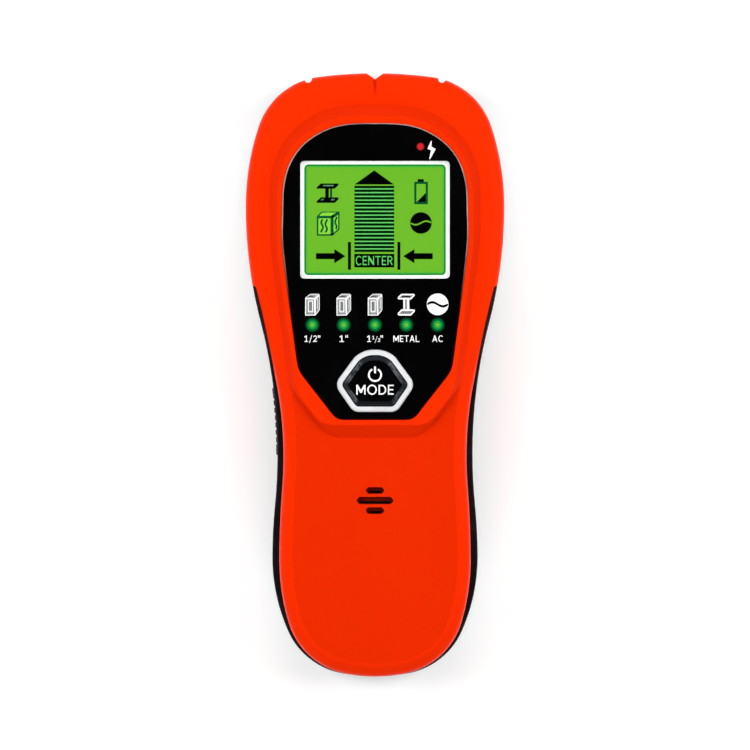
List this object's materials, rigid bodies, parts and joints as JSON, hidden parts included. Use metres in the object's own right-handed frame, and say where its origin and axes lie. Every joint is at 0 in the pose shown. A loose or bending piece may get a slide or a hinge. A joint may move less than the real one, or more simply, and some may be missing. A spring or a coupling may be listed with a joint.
{
  "type": "stud finder",
  "caption": "Hand-held wall scanner with a backlit display panel, chrome-ringed mode key, side key, soft grip band and sliding battery door.",
  "frame": {"origin": "middle of the length and width, on the plane of the glide pads' feet", "axes": "+Z out of the front face with the display, +Y from the handle to the sensing head, +X to the right seen from the front"},
  "size_m": [0.0706, 0.165, 0.0336],
  "materials": {
    "orange_plastic": "orange ABS, fine satin texture, slightly glossier on the bevels",
    "black_plastic": "black ABS, spark-eroded texture",
    "grip_rubber": "soft black overmould, matt",
    "panel_black": "gloss black faceplate with white printed legends",
    "lens_clear": "clear acrylic window",
    "chrome_trim": "bright chromed plastic ring",
    "key_black": "gloss black key cap",
    "pad_grey": "grey slippery glide pad",
    "screw_steel": "zinc plated steel, cross recess",
    "lcd_white": "white display frame",
    "lcd_green": "green backlit display",
    "display_glass": "display glass",
    "light_guide": "clear acrylic light guide",
    "reflector_white": "white reflector film",
    "zebra_rubber": "striped conductive rubber",
    "board_green": "green solder mask on glass fibre board",
    "chip_black": "moulded epoxy chip body",
    "tin_plated": "tin plated pins and caps",
    "gold_pins": "gold flashed brass pins",
    "copper": "bare and enamelled copper",
    "capacitor_can": "aluminium can",
    "led_green": "green light emitting diode",
    "led_red": "red light emitting diode",
    "led_white": "white light emitting diode",
    "bobbin_nylon": "natural nylon",
    "buzzer_black": "black buzzer case",
    "foam_grey": "closed cell foam",
    "battery_steel": "printed steel jacket, plain",
    "cell_steel": "bare cell cans",
    "lead_red": "red wire insulation",
    "lead_black": "black wire insulation"
  },
  "bodies": {
    "casing": {"front_shell": "orange_plastic", "rear_shell": "black_plastic", "grip_band": "grip_rubber", "glide_pad_1": "pad_grey", "glide_pad_2": "pad_grey", "glide_pad_3": "pad_grey", "glide_pad_4": "pad_grey", "case_screws": "screw_steel", "faceplate": "panel_black", "window_lens": "lens_clear", "lcd_frame": "lcd_white", "lcd_polariser": "lcd_green", "lcd_glass_front": "display_glass", "lcd_glass_rear": "display_glass", "backlight_guide": "light_guide", "backlight_reflector": "reflector_white", "backlight_leds": "led_white", "zebra_strip_upper": "zebra_rubber", "zebra_strip_lower": "zebra_rubber", "light_pipe_strip": "light_guide", "warning_light_pipe": "light_guide", "mode_button_ring": "chrome_trim", "mode_switch_body": "chip_black", "side_switch_board": "board_green", "side_switch_body": "chip_black", "main_board": "board_green", "board_screws": "screw_steel", "mode_leds": "led_green", "warning_led": "led_red", "microcontroller": "chip_black", "display_driver": "chip_black", "chip_pins": "tin_plated", "crystal": "tin_plated", "electrolytic_capacitors": "capacitor_can", "voltage_regulator": "chip_black", "chip_resistors": "chip_black", "header_socket": "chip_black", "sensor_board": "board_green", "sensor_board_screws": "screw_steel", "sensor_plates": "copper", "coil_bobbin": "bobbin_nylon", "coil_winding": "copper", "signal_amplifier": "chip_black", "header_base": "chip_black", "header_pins": "gold_pins", "buzzer_body": "buzzer_black", "buzzer_gasket": "foam_grey", "battery_jacket": "battery_steel", "battery_end_plates": "chip_black", "battery_cells": "cell_steel", "battery_terminals": "tin_plated", "snap_connector": "chip_black", "lead_red": "lead_red", "lead_black": "lead_black"},
    "mode_key": {"mode_button": "key_black", "mode_switch_plunger": "key_black"},
    "side_key": {"side_button": "key_black", "side_switch_plunger": "key_black"},
    "door": {"battery_door": "black_plastic"}
  },
  "joints": [
    {"name": "mode_press", "type": "slide", "parent": "casing", "child": "mode_key", "axis": [0, 0, -1], "range_m": [0, 0.0007], "stiffness_N_per_m": 1800, "springref_m": -0.0004},
    {"name": "side_press", "type": "slide", "parent": "casing", "child": "side_key", "axis": [1, 0, 0], "range_m": [0, 0.0008], "stiffness_N_per_m": 1600, "springref_m": -0.0004},
    {"name": "door_slide", "type": "slide", "parent": "casing", "child": "door", "axis": [0, -1, 0], "range_m": [0, 0.065]}
  ]
}
